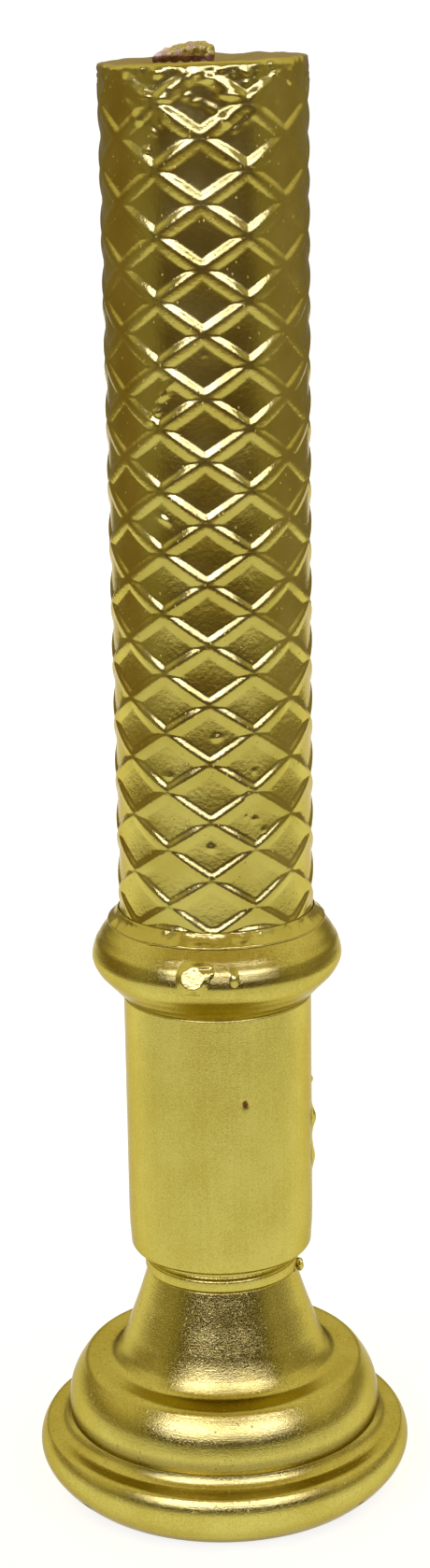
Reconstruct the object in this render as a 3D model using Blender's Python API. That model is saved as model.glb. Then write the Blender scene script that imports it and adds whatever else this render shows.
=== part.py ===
"""Altar candlestick with its candle.

A gilded wooden stick in four turnings (plinth, bell, barrel, collar) with a ring at the neck, drawn
together by a steel tie rod between a pricket and a nut. A lattice-moulded pillar candle stands on
the pricket, inside a brass cup. Metres, +Z up, origin at the middle of the underside, front on -Y.
"""
import math

import bmesh
import bpy

# ---------------------------------------------------------------- driving dimensions (metres)
MM = 0.001
GAP = 0.3 * MM                   # clearance between neighbouring pieces
ROUND = 40                       # sides of a visible turned piece
ROUND_SMALL = 24                 # sides of rods, washers and bores

FELT_R, FELT_THICK = 39.6 * MM, 1.6 * MM
PLINTH_MAX_R, PLINTH_MAX_Z = 50.6 * MM, 12.4 * MM
PLINTH_LEDGE_R, PLINTH_LEDGE_Z = 48.4 * MM, 17.6 * MM
PLINTH_TOP_R, PLINTH_TOP_Z = 42.2 * MM, 20.7 * MM    # seat of the bell
RECESS_R, RECESS_TOP_Z = 16.0 * MM, 10.0 * MM

BELL_MAX_R = 42.4 * MM
BELL_TOP_R, BELL_TOP_Z = 19.9 * MM, 62.7 * MM
TENON_R, TENON_TOP_Z = 11.0 * MM, 82.0 * MM

RING_R, RING_BEAD_TOP_Z = 20.7 * MM, 66.8 * MM
RING_NECK_R, RING_TOP_Z = 19.8 * MM, 69.2 * MM

BARREL_R, BARREL_FOOT_R = 24.7 * MM, 24.3 * MM
BARREL_EDGE = 1.6 * MM           # rounding of the barrel's foot
BARREL_SHOULDER_Z = 141.0 * MM   # where the collar sits
BARREL_SPIGOT_R, BARREL_TOP_Z = 22.0 * MM, 144.8 * MM

COLLAR_MAX_R, COLLAR_MAX_Z = 32.7 * MM, 151.9 * MM
COLLAR_LIP_R, COLLAR_TOP_Z = 27.8 * MM, 161.6 * MM
COLLAR_BORE_R = 26.8 * MM

CUP_WALL = 0.7 * MM
ROD_R = 3.0 * MM
BOSS_R, BOSS_BOTTOM_Z = 5.0 * MM, 132.0 * MM
FLANGE_R, FLANGE_THICK = 9.0 * MM, 1.2 * MM
SPIKE_R, SPIKE_TIP_R, SPIKE_TIP_Z = 3.2 * MM, 0.4 * MM, 174.0 * MM
WASHER_R, WASHER_THICK = 9.0 * MM, 1.2 * MM
NUT_FLATS, NUT_THICK = 10.0 * MM, 5.0 * MM

CANDLE_R = 25.4 * MM             # over the ribs
CANDLE_FOOT_R = 24.8 * MM        # plain part that stands in the cup
RIB_RELIEF = 0.65 * MM
DIAMONDS_ROUND = 7
DIAMOND_PITCH = 14.99 * MM       # height of one diamond
CROSSING_Z = 358.5 * MM          # a rib crossing in the front column
CROSSING_TURN = math.radians(-2.1)
CELLS = 3                        # mesh cells in half a diamond, round and up
CANDLE_TOP_Z = 375.0 * MM
WICK_R = 1.6 * MM
WICK_BORE_BOTTOM_Z = 186.0 * MM

POOL_OUT_R, POOL_TOP_Z = 28.3 * MM, 165.2 * MM

CUP_FLOOR_Z = BARREL_TOP_Z + GAP
FLANGE_Z = CUP_FLOOR_Z + CUP_WALL + GAP
CANDLE_BOTTOM_Z = FLANGE_Z + FLANGE_THICK + GAP
CUP_OUT_R = COLLAR_BORE_R - GAP


# ---------------------------------------------------------------- shape helpers
def clear_scene():
    for item in list(bpy.data.objects):
        bpy.data.objects.remove(item, do_unlink=True)


def material(name, colour, roughness, metallic):
    made = bpy.data.materials.new(name)
    made.use_nodes = True
    shader = made.node_tree.nodes["Principled BSDF"]
    shader.inputs["Base Color"].default_value = (*colour, 1.0)
    shader.inputs["Roughness"].default_value = roughness
    shader.inputs["Metallic"].default_value = metallic
    return made


def curve_through(points, steps=4):
    """Points of a smooth curve that passes through the given points, flat or in space."""
    padded = [points[0], *points, points[-1]]
    smooth = [points[0]]
    for before, start, end, after in zip(padded, padded[1:], padded[2:], padded[3:]):
        for step in range(1, steps + 1):
            t = step / steps
            smooth.append(tuple(
                0.5 * (2 * b + (c - a) * t + (2 * a - 5 * b + 4 * c - d) * t ** 2
                       + (3 * b - 3 * c + d - a) * t ** 3)
                for a, b, c, d in zip(before, start, end, after)))
    return smooth


def quarter(centre, reach_r, reach_z, start, end, steps):
    """Points on an ellipse about centre, from one angle in degrees to another."""
    turns = [math.radians(start + (end - start) * i / steps) for i in range(steps + 1)]
    return [(centre[0] + reach_r * math.cos(t), centre[1] + reach_z * math.sin(t)) for t in turns]


def finish_mesh(name, shape, finish, sharp=35):
    bmesh.ops.recalc_face_normals(shape, faces=shape.faces)
    mesh = bpy.data.meshes.new(name)
    shape.to_mesh(mesh)
    shape.free()
    mesh.materials.append(finish)
    mesh.shade_smooth()
    mesh.set_sharp_from_angle(angle=math.radians(sharp))
    made = bpy.data.objects.new(name, mesh)
    bpy.context.scene.collection.objects.link(made)
    return made


def turned(name, outline, finish, sides=ROUND, sharp=35):
    """Spin a closed (r, z) outline about the Z axis. An outline may touch the axis at r = 0."""
    shape = bmesh.new()
    corners = [shape.verts.new((r, 0.0, z)) for r, z in outline]
    on_axis = [r < 1e-6 for r, _ in outline]
    edges = [shape.edges.new((a, b))
             for (a, first), (b, second) in zip(zip(corners, on_axis),
                                                zip(corners[1:] + corners[:1], on_axis[1:] + on_axis[:1]))
             if not (first and second)]
    bmesh.ops.spin(shape, geom=corners + edges, axis=(0, 0, 1), cent=(0, 0, 0),
                   angle=math.tau, steps=sides, use_merge=True)
    bmesh.ops.remove_doubles(shape, verts=shape.verts, dist=1e-6)
    return finish_mesh(name, shape, finish, sharp)


def as_cutter(item):
    item.hide_render = True
    item.display_type = "WIRE"
    return item


def cut(item, cutter):
    step = item.modifiers.new("cut_" + cutter.name, "BOOLEAN")
    step.operation = "DIFFERENCE"
    step.object = cutter


# ---------------------------------------------------------------- foot
def base_felt(finish):
    return turned("base_felt", [(0, 0), (FELT_R, 0), (FELT_R, FELT_THICK), (0, FELT_THICK)], finish)


def foot_plinth(finish):
    """Round base: undercut below, a full roll, a flat ledge and a small cove up to the bell's seat."""
    under = FELT_THICK + GAP
    roll = curve_through([(43.2 * MM, under), (46.1 * MM, 4.1 * MM), (48.4 * MM, 6.7 * MM),
                          (49.9 * MM, 9.2 * MM), (PLINTH_MAX_R, PLINTH_MAX_Z), (49.9 * MM, 15.5 * MM),
                          (PLINTH_LEDGE_R, PLINTH_LEDGE_Z)], 3)
    cove = curve_through([(44.3 * MM, 17.9 * MM), (43.2 * MM, 18.8 * MM), (42.5 * MM, 20.0 * MM),
                          (PLINTH_TOP_R, PLINTH_TOP_Z)], 2)
    rod_hole = ROD_R + GAP
    inside = [(rod_hole, PLINTH_TOP_Z), (rod_hole, RECESS_TOP_Z), (RECESS_R, RECESS_TOP_Z), (RECESS_R, under)]
    return turned("foot_plinth", roll + cove + inside, finish)


def foot_bell(finish):
    """Rounded shoulder, narrow ledge and hollow cone up to the neck, with a tenon for the barrel."""
    under = PLINTH_TOP_Z + GAP
    shoulder = curve_through([(42.2 * MM, under), (BELL_MAX_R, 22.8 * MM), (BELL_MAX_R, 24.6 * MM),
                              (41.6 * MM, 29.0 * MM), (40.3 * MM, 32.2 * MM), (38.7 * MM, 34.8 * MM),
                              (37.2 * MM, 36.5 * MM), (35.6 * MM, 36.9 * MM)], 2)
    cone = curve_through([(31.6 * MM, 36.9 * MM), (30.0 * MM, 37.3 * MM), (28.2 * MM, 39.7 * MM),
                          (27.2 * MM, 41.7 * MM), (26.2 * MM, 44.1 * MM), (25.2 * MM, 46.9 * MM),
                          (22.8 * MM, 53.7 * MM), (BELL_TOP_R, BELL_TOP_Z)], 1)
    rod_hole = ROD_R + GAP
    core = [(TENON_R, BELL_TOP_Z), (TENON_R, TENON_TOP_Z), (rod_hole, TENON_TOP_Z), (rod_hole, under)]
    return turned("foot_bell", shoulder + cone + core, finish)


def neck_ring(finish):
    """Bead on the bell's top with a narrower neck that carries the barrel."""
    low = BELL_TOP_Z + GAP
    half = (RING_BEAD_TOP_Z - low) / 2
    bead = quarter((RING_R - 1.1 * MM, low + half), 1.1 * MM, half, -90, 80, 9)
    neck = [(RING_NECK_R, RING_BEAD_TOP_Z + 0.5 * MM), (RING_NECK_R, RING_TOP_Z)]
    bore = TENON_R + GAP
    return turned("neck_ring", bead + neck + [(bore, RING_TOP_Z), (bore, low)], finish, sharp=60)


def foot_fixings(steel):
    """Washer and nut that pull the tie rod down inside the plinth's recess."""
    washer_top = RECESS_TOP_Z - GAP
    washer_low = washer_top - WASHER_THICK
    bore = ROD_R + GAP
    turned("foot_washer", [(bore, washer_low), (WASHER_R, washer_low), (WASHER_R, washer_top),
                           (bore, washer_top)], steel, ROUND_SMALL)
    nut_top = washer_low - GAP
    shape = bmesh.new()
    bmesh.ops.create_cone(shape, cap_ends=True, segments=6, radius1=NUT_FLATS / math.sqrt(3),
                          radius2=NUT_FLATS / math.sqrt(3), depth=NUT_THICK)
    bmesh.ops.translate(shape, verts=shape.verts, vec=(0, 0, nut_top - NUT_THICK / 2))
    nut = finish_mesh("foot_nut", shape, steel)
    reach = NUT_THICK
    hole = turned("nut_hole", [(0, nut_top - 2 * reach), (bore, nut_top - 2 * reach),
                               (bore, nut_top + reach), (0, nut_top + reach)], steel, ROUND_SMALL)
    cut(nut, as_cutter(hole))


# ---------------------------------------------------------------- stem and socket
def barrel(finish):
    """Plain pillar, bored below for the bell's tenon and above for the pricket's boss."""
    under = RING_TOP_Z + GAP
    foot = quarter((BARREL_FOOT_R - BARREL_EDGE, under + BARREL_EDGE), BARREL_EDGE, BARREL_EDGE, -90, 0, 5)
    wall = [(BARREL_R - 0.1 * MM, 76.0 * MM), (BARREL_R, 80.0 * MM), (BARREL_R, BARREL_SHOULDER_Z)]
    spigot = [(BARREL_SPIGOT_R, BARREL_SHOULDER_Z), (BARREL_SPIGOT_R, BARREL_TOP_Z)]
    boss, rod, mortise = BOSS_R + GAP, ROD_R + GAP, TENON_R + GAP
    mortise_top = TENON_TOP_Z + GAP
    bores = [(boss, BARREL_TOP_Z), (boss, BOSS_BOTTOM_Z - GAP), (rod, BOSS_BOTTOM_Z - GAP),
             (rod, mortise_top), (mortise, mortise_top), (mortise, under)]
    return turned("barrel", foot + wall + spigot + bores, finish)


def collar_section():
    """Outside of the collar from its seat on the barrel up to its lip."""
    return curve_through([(24.8 * MM, BARREL_SHOULDER_Z + GAP), (25.8 * MM, 142.4 * MM),
                          (27.9 * MM, 144.5 * MM), (30.0 * MM, 146.7 * MM), (31.8 * MM, 149.1 * MM),
                          (COLLAR_MAX_R, COLLAR_MAX_Z), (32.1 * MM, 154.8 * MM), (30.8 * MM, 157.5 * MM),
                          (29.1 * MM, 160.0 * MM), (COLLAR_LIP_R, COLLAR_TOP_Z)], 1)


def collar(finish):
    seat = BARREL_SPIGOT_R + GAP
    inside = [(COLLAR_BORE_R, COLLAR_TOP_Z), (COLLAR_BORE_R, BARREL_TOP_Z), (seat, BARREL_TOP_Z),
              (seat, BARREL_SHOULDER_Z + GAP)]
    return turned("collar", collar_section() + inside, finish)


def candle_cup(finish):
    """Pressed brass cup that lines the socket; the pricket's flange holds its floor down."""
    low, high = CUP_FLOOR_Z, COLLAR_TOP_Z - 0.6 * MM
    inner = CUP_OUT_R - CUP_WALL
    hole = BOSS_R + GAP
    return turned("candle_cup", [(hole, low), (CUP_OUT_R, low), (CUP_OUT_R, high), (inner, high),
                                 (inner, low + CUP_WALL), (hole, low + CUP_WALL)], finish)


def pricket(finish):
    """Spike with a flange above the cup and a threaded boss below it, bored for the tie rod."""
    bore, bore_top = ROD_R + GAP, CUP_FLOOR_Z - 1.4 * MM
    top = FLANGE_Z + FLANGE_THICK
    return turned("pricket", [
        (0, bore_top), (bore, bore_top), (bore, BOSS_BOTTOM_Z), (BOSS_R, BOSS_BOTTOM_Z), (BOSS_R, FLANGE_Z),
        (FLANGE_R, FLANGE_Z), (FLANGE_R, top), (SPIKE_R, top), (SPIKE_TIP_R, SPIKE_TIP_Z),
        (0, SPIKE_TIP_Z + 0.3 * MM)], finish, ROUND_SMALL)


def tie_rod(finish):
    low, high = 2.6 * MM, CUP_FLOOR_Z - 1.4 * MM - GAP
    return turned("tie_rod", [(0, low), (ROD_R, low), (ROD_R, high), (0, high)], finish, ROUND_SMALL)


# ---------------------------------------------------------------- candle
def off_rib(step):
    """How many mesh cells lie between a place and the nearest rib of one slant."""
    return abs((step + CELLS) % (2 * CELLS) - CELLS)


def lattice_radius(column, row):
    """Outer radius at a mesh corner: on a rib of either slant, or else on a panel."""
    on_rib = off_rib(column - row) == 0 or off_rib(column + row) == 0
    return CANDLE_R if on_rib else CANDLE_R - RIB_RELIEF


def candle(finish):
    """Pillar with raised ribs in a diamond lattice, bored below for the spike and above for the wick."""
    columns = 2 * CELLS * DIAMONDS_ROUND
    row_rise = DIAMOND_PITCH / (2 * CELLS)
    top_row = int((CANDLE_TOP_Z - 1.5 * MM - CROSSING_Z) / row_rise)
    bottom_row = -int((CROSSING_Z - POOL_TOP_Z + 3 * MM) / row_rise)
    spike_hole, bore = SPIKE_R + GAP, WICK_R + GAP
    below = [(0, SPIKE_TIP_Z + 2 * MM), (SPIKE_TIP_R + 2 * GAP, SPIKE_TIP_Z + 1 * MM),
             (spike_hole, CANDLE_BOTTOM_Z), (CANDLE_FOOT_R - 0.6 * MM, CANDLE_BOTTOM_Z),
             (CANDLE_FOOT_R, CANDLE_BOTTOM_Z + 1.5 * MM), (CANDLE_FOOT_R, 158.0 * MM)]
    above = [(24.4 * MM, CANDLE_TOP_Z - 0.7 * MM), (23.0 * MM, CANDLE_TOP_Z),
             (15.0 * MM, CANDLE_TOP_Z - 0.9 * MM), (bore, CANDLE_TOP_Z - 1.6 * MM),
             (bore, WICK_BORE_BOTTOM_Z), (0, WICK_BORE_BOTTOM_Z)]
    shape = bmesh.new()

    def ring(radius_at, z):
        corners = []
        for column in range(columns):
            turn = CROSSING_TURN + math.tau * column / columns
            radius = radius_at(column)
            corners.append(shape.verts.new((radius * math.sin(turn), -radius * math.cos(turn), z)))
        return corners

    rings = [ring(lambda _, r=r: r, z) for r, z in below[1:]]
    lattice_start = len(rings)
    for row in range(bottom_row, top_row + 1):
        rings.append(ring(lambda column, row=row: lattice_radius(column, row), CROSSING_Z + row * row_rise))
    lattice_end = len(rings)
    rings += [ring(lambda _, r=r: r, z) for r, z in above[:-1]]
    for index, (lower, upper) in enumerate(zip(rings, rings[1:])):
        row = bottom_row + index - lattice_start
        for column in range(columns):
            after = (column + 1) % columns
            corners = (lower[column], lower[after], upper[after], upper[column])
            if not lattice_start <= index < lattice_end - 1:
                shape.faces.new(corners)
            elif off_rib(column - row) < off_rib(column + row + 1):     # an edge follows the nearer rib
                shape.faces.new(corners[:3])
                shape.faces.new((corners[0], corners[2], corners[3]))
            else:
                shape.faces.new((corners[0], corners[1], corners[3]))
                shape.faces.new(corners[1:])
    for tip_z, end in ((below[0][1], rings[0]), (above[-1][1], rings[-1])):
        tip = shape.verts.new((0, 0, tip_z))
        for first, second in zip(end, end[1:] + end[:1]):
            shape.faces.new((tip, first, second))
    return finish_mesh("candle", shape, finish, 20)


def wick(finish):
    """Cotton wick: straight inside the wax, then pressed over to the left above it."""
    top = CANDLE_TOP_Z
    straight = [(0, 0, z) for z in (WICK_BORE_BOTTOM_Z + GAP, 220 * MM, 280 * MM, 340 * MM, top - 6 * MM)]
    fold = [(0, 0, top - 2.6 * MM), (0.5 * MM, 0, top - 0.6 * MM), (1.5 * MM, 0, top + 1.5 * MM),
            (0.6 * MM, 0, top + 3.0 * MM), (-2.2 * MM, -0.2 * MM, top + 3.2 * MM),
            (-5.4 * MM, -0.6 * MM, top + 2.6 * MM), (-8.4 * MM, -0.9 * MM, top + 2.0 * MM),
            (-10.6 * MM, -1.1 * MM, top + 1.9 * MM)]
    path = bpy.data.curves.new("wick", "CURVE")
    path.dimensions = "3D"
    path.bevel_depth = WICK_R
    path.bevel_resolution = 2
    path.use_fill_caps = True
    line = path.splines.new("POLY")
    points = straight + curve_through(fold, 3)
    line.points.add(len(points) - 1)
    for point, place in zip(line.points, points):
        point.co = (*place, 1.0)
    path.materials.append(finish)
    made = bpy.data.objects.new("wick", path)
    bpy.context.scene.collection.objects.link(made)
    return made


# ---------------------------------------------------------------- hardened lacquer
def lacquer_pool(finish):
    """Ring of lacquer that ran down the candle and set on top of the collar."""
    inner = CANDLE_R + GAP
    low = COLLAR_TOP_Z + GAP
    skirt = [(inner, low), (COLLAR_LIP_R + 0.1 * MM, low), (POOL_OUT_R, low - 0.5 * MM)]
    crown = [(POOL_OUT_R + 0.1 * MM, low), (POOL_OUT_R - 0.7 * MM, low + 1.0 * MM),
             (inner + 0.9 * MM, low + 2.0 * MM), (inner, POOL_TOP_Z)]
    return turned("lacquer_pool", skirt + crown, finish, sharp=60)


def blob(name, turn, radius, z, reach, finish, cutter):
    """Drop of lacquer on a turned surface: reach is its half size round, outward and up."""
    shape = bmesh.new()
    bmesh.ops.create_icosphere(shape, subdivisions=2, radius=1.0)
    bmesh.ops.scale(shape, vec=reach, verts=shape.verts)
    made = finish_mesh(name, shape, finish)
    angle = math.radians(turn)
    made.location = (radius * math.sin(angle), -radius * math.cos(angle), z)
    made.rotation_euler = (0, 0, angle)
    cut(made, cutter)
    return made


def widened(outline, extra):
    return [(r + extra, z) for r, z in outline]


def drips(finish):
    section = widened(collar_section(), 1.3 * GAP)
    collar_skin = as_cutter(turned("collar_skin", [(0, section[0][1]), *section, (0, section[-1][1])], finish))
    blob("collar_drip_large", -10.7, 31.0 * MM, 155.4 * MM, (3.4 * MM, 2.4 * MM, 3.6 * MM), finish,
         collar_skin)
    blob("collar_drip_small", 7.8, 31.0 * MM, 155.2 * MM, (1.5 * MM, 2.0 * MM, 2.6 * MM), finish,
         collar_skin)
    around = BARREL_R + GAP
    barrel_skin = as_cutter(turned("barrel_skin", [(0, 80 * MM), (around, 80 * MM), (around, 136 * MM),
                                                   (0, 136 * MM)], finish))
    blob("barrel_run", 88.0, 24.3 * MM, 99.0 * MM, (1.6 * MM, 1.6 * MM, 9.5 * MM), finish, barrel_skin)
    neck = [(0, 56 * MM), (22.5 * MM, 56 * MM), (20.5 * MM, 62 * MM), (21.1 * MM, 63.2 * MM),
            (21.1 * MM, 66.8 * MM), (20.3 * MM, 68 * MM), (0, 68 * MM)]
    neck_skin = as_cutter(turned("neck_skin", neck, finish))
    blob("neck_drip", 82.0, 20.8 * MM, 63.8 * MM, (1.3 * MM, 1.2 * MM, 1.7 * MM), finish, neck_skin)


def build():
    clear_scene()
    gold = material("gold_paint", (0.50, 0.41, 0.13), 0.32, 1.0)
    lacquer = material("gold_lacquer", (0.58, 0.44, 0.14), 0.16, 1.0)
    brass = material("brass", (0.62, 0.47, 0.20), 0.35, 1.0)
    steel = material("steel", (0.55, 0.55, 0.54), 0.38, 1.0)
    felt = material("felt", (0.05, 0.12, 0.06), 0.95, 0.0)
    cotton = material("cotton", (0.75, 0.62, 0.36), 0.5, 0.0)
    base_felt(felt)
    foot_plinth(gold)
    foot_bell(gold)
    neck_ring(gold)
    foot_fixings(steel)
    barrel(gold)
    collar(gold)
    candle_cup(brass)
    pricket(steel)
    tie_rod(steel)
    candle(lacquer)
    wick(cotton)
    lacquer_pool(lacquer)
    drips(lacquer)


build()
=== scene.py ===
"""Looks for the altar candlestick and its lattice candle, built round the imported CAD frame.

Lengths in the shape code are millimetres, +Z up, and the front faces -Y. A turn is the angle in
degrees from the front towards +X. Pieces are made in metres.
"""
import math

import bpy
import numpy as np
from mathutils import Matrix

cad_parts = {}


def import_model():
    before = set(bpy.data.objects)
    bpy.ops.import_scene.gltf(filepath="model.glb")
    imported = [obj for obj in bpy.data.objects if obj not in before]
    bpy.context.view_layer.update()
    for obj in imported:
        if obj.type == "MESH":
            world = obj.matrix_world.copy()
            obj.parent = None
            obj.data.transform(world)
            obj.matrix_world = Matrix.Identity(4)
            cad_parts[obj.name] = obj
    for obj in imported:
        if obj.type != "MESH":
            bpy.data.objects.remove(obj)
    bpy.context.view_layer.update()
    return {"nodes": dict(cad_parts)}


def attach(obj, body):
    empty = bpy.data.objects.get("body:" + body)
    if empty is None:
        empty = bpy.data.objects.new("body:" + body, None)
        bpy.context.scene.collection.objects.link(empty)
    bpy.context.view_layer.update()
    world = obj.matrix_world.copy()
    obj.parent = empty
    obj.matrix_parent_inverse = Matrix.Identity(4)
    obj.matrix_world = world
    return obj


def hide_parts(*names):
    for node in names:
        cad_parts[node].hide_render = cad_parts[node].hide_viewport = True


MM = 0.001
BARREL_R, COLLAR_R = 24.7, 32.0         # radii on which lumps are laid out
ROD_BORE, TENON_BORE = 3.3, 11.3

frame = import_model()


# ---------------------------------------------------------------- node graphs
class Graph:
    """Builds a node tree. An input is either a number or colour, or the output of another node."""

    def __init__(self, tree):
        tree.nodes.clear()
        self.tree = tree

    def add(self, kind, inputs=(), **settings):
        node = self.tree.nodes.new("ShaderNode" + kind)
        for name, value in settings.items():
            setattr(node, name, value)
        for name, value in dict(inputs).items():
            if isinstance(value, bpy.types.NodeSocket):
                self.tree.links.new(value, node.inputs[name])
            else:
                node.inputs[name].default_value = value
        return node

    def math(self, operation, first, second=0.0):
        return self.add("Math", {0: first, 1: second}, operation=operation).outputs[0]

    def times(self, first, second):
        return self.math("MULTIPLY", first, second)

    def plus(self, first, second):
        return self.math("ADD", first, second)

    def axes(self, vector):
        return self.add("SeparateXYZ", {0: vector}).outputs

    def stretch(self, vector, scale):
        return self.add("VectorMath", {0: vector, 1: scale}, operation="MULTIPLY").outputs[0]

    def noise(self, vector, scale, detail=2.0, roughness=0.5, distortion=0.0):
        return self.add("TexNoise", {"Vector": vector, "Scale": scale, "Detail": detail,
                                     "Roughness": roughness, "Distortion": distortion}).outputs[0]

    def spread(self, value, low, high, to_low=0.0, to_high=1.0):
        """Smooth step from to_low at low to to_high at high."""
        return self.add("MapRange", {"Value": value, "From Min": low, "From Max": high, "To Min": to_low,
                                     "To Max": to_high}, interpolation_type="SMOOTHSTEP").outputs[0]

    def blend(self, share, first, second):
        """First colour where share is 0, second where it is 1."""
        return self.add("Mix", {0: share, 6: first, 7: second}, data_type="RGBA").outputs[2]

    def bump(self, height, distance, before=None):
        inputs = {"Height": height, "Distance": distance, "Strength": 1.0}
        if before is not None:
            inputs["Normal"] = before
        return self.add("Bump", inputs).outputs[0]

    def spot(self, place, centre, reach):
        """1 at a point of the surface, 0 beyond reach (one length for each axis)."""
        away = self.add("VectorMath", {0: place, 1: centre}, operation="SUBTRACT").outputs[0]
        scaled = self.stretch(away, tuple(1.0 / length for length in reach))
        length = self.add("VectorMath", {0: scaled}, operation="LENGTH").outputs[1]
        return self.spread(length, 0.55, 1.0, 1.0, 0.0)


def material(name):
    """New material, its graph, its shader, and the place on the surface in millimetres."""
    made = bpy.data.materials.new(name)
    made.use_nodes = True
    graph = Graph(made.node_tree)
    shader = graph.add("BsdfPrincipled")
    out = graph.add("OutputMaterial")
    made.node_tree.links.new(shader.outputs[0], out.inputs[0])
    place = graph.add("TexCoord").outputs["Object"]
    return made, graph, shader, graph.stretch(place, (1 / MM, 1 / MM, 1 / MM))


def feed(graph, shader, **values):
    """Sets or links the shader's sockets; an underscore in a name stands for a space."""
    for name, value in values.items():
        socket = shader.inputs[name.replace("_", " ")]
        if isinstance(value, bpy.types.NodeSocket):
            graph.tree.links.new(value, socket)
        else:
            socket.default_value = value


def on_cylinder(turn, radius, z):
    """Point at a turn, radius and height."""
    angle = math.radians(turn)
    return (radius * math.sin(angle), -radius * math.cos(angle), z)


# ---------------------------------------------------------------- materials
GOLD = (0.545, 0.470, 0.100, 1)
GOLD_DEEP = (0.430, 0.340, 0.055, 1)
GOLD_PALE = (0.625, 0.555, 0.155, 1)
BARE_WOOD = (0.165, 0.060, 0.022, 1)
GOLD_EDGE = (0.62, 0.55, 0.42, 1)       # tint of the gold seen edge on
# painted shade: dark colour laid into the foot's gold in bands
PAINTED_SHADE = (0.14, 0.10, 0.03, 1)
DULL_WAX = (0.33, 0.25, 0.10, 1)
FELT_DARK, FELT_LIGHT = (0.010, 0.045, 0.018, 1), (0.045, 0.13, 0.055, 1)
# the last colour is painted shade for the underside of the wick
COTTON, COTTON_PALE, WICK_SHADE = (0.50, 0.33, 0.14, 1), (0.80, 0.62, 0.42, 1), (0.14, 0.045, 0.010, 1)
BRASS_DARK, BRASS_LIGHT = (0.45, 0.30, 0.10, 1), (0.66, 0.50, 0.22, 1)
STEEL_DARK, STEEL_LIGHT = (0.40, 0.40, 0.39, 1), (0.60, 0.60, 0.58, 1)


def gold_paint(name, lines=0.0, grain=0.0, beads=0.0, chips=(), worn_below=None, painted_shade_bands=()):
    """Gold paint on turned wood.

    lines, grain and beads are the heights in mm of turning marks, upright wood grain and grit. A chip is
    (turn, radius, z, reach on each axis). Bare wood shows below worn_below. A band of painted shade is
    (height, reach, share of the shade colour).
    """
    made, graph, shader, place = material(name)
    cloud = graph.noise(place, 0.07, 3.0)
    speckle = graph.noise(place, 2.3, 3.0, 0.6)
    fine = graph.noise(place, 6.0, 2.0)
    upright = graph.noise(graph.stretch(place, (1.0, 1.0, 0.035)), 1.3, 3.0, 0.55)
    ringed = graph.noise(graph.stretch(place, (0.02, 0.02, 1.0)), 3.2, 3.0, 0.6)
    tone = graph.plus(graph.times(cloud, 0.30),
                      graph.plus(graph.times(speckle, 0.58), graph.times(upright, 0.12)))
    colour = graph.blend(graph.spread(tone, 0.38, 0.62), GOLD_DEEP, GOLD_PALE)
    colour = graph.blend(0.58, GOLD, colour)
    rough = graph.plus(graph.times(cloud, 0.02), graph.plus(graph.times(speckle, 0.10), 0.06))
    normal = graph.bump(speckle, 0.055 * MM)
    normal = graph.bump(fine, 0.026 * MM, normal)
    if grain:
        normal = graph.bump(upright, grain * MM, normal)
    if lines:
        normal = graph.bump(ringed, lines * MM, normal)
    if beads:
        cells = graph.add("TexVoronoi", {"Vector": graph.stretch(place, (1.0, 1.0, 0.62)), "Scale": 0.95,
                                         "Randomness": 1.0})
        chosen = graph.spread(cells.outputs["Color"], 0.66, 0.70)
        column = graph.spread(graph.noise(graph.stretch(place, (1.0, 1.0, 0.02)), 0.42, 1.0), 0.50, 0.58)
        dome = graph.times(graph.spread(cells.outputs["Distance"], 0.10, 0.26, 1.0, 0.0),
                           graph.times(chosen, graph.plus(graph.times(column, 0.8), 0.2)))
        normal = graph.bump(dome, beads * MM, normal)
    height = graph.axes(place)[2]
    # painted shade: the gold is darkened in a band round each given height
    for level, reach, share in painted_shade_bands:
        uneven = graph.plus(graph.times(speckle, 0.6), -0.3 - level)
        off = graph.math("ABSOLUTE", graph.plus(height, uneven))
        colour = graph.blend(graph.spread(off, 0.2 * reach, reach, share, 0.0), colour, PAINTED_SHADE)
    for turn, radius, z, reach in chips:
        tear = graph.add("TexNoise", {"Vector": place, "Scale": 1.2}).outputs["Color"]
        ragged = graph.add("VectorMath", {0: place, 1: tear}, operation="ADD").outputs[0]
        centre = tuple(v + 0.5 for v in on_cylinder(turn, radius, z))        # the tear adds 0.5 on average
        ungilt = graph.spot(ragged, centre, reach)
        colour = graph.blend(ungilt, colour, BARE_WOOD)
        rough = graph.plus(rough, graph.times(ungilt, 0.3))
    if worn_below:
        broken = graph.plus(graph.times(graph.noise(place, 0.35, 4.0, 0.65), 4.6), -2.3)
        edge = graph.spread(graph.plus(height, broken), worn_below - 1.0, worn_below, 1.0, 0.0)
        colour = graph.blend(edge, colour, BARE_WOOD)
        rough = graph.plus(rough, graph.times(edge, 0.3))
    feed(graph, shader, Base_Color=colour, Roughness=rough, Normal=normal, Metallic=1.0,
         Specular_Tint=GOLD_EDGE)
    return made


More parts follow.
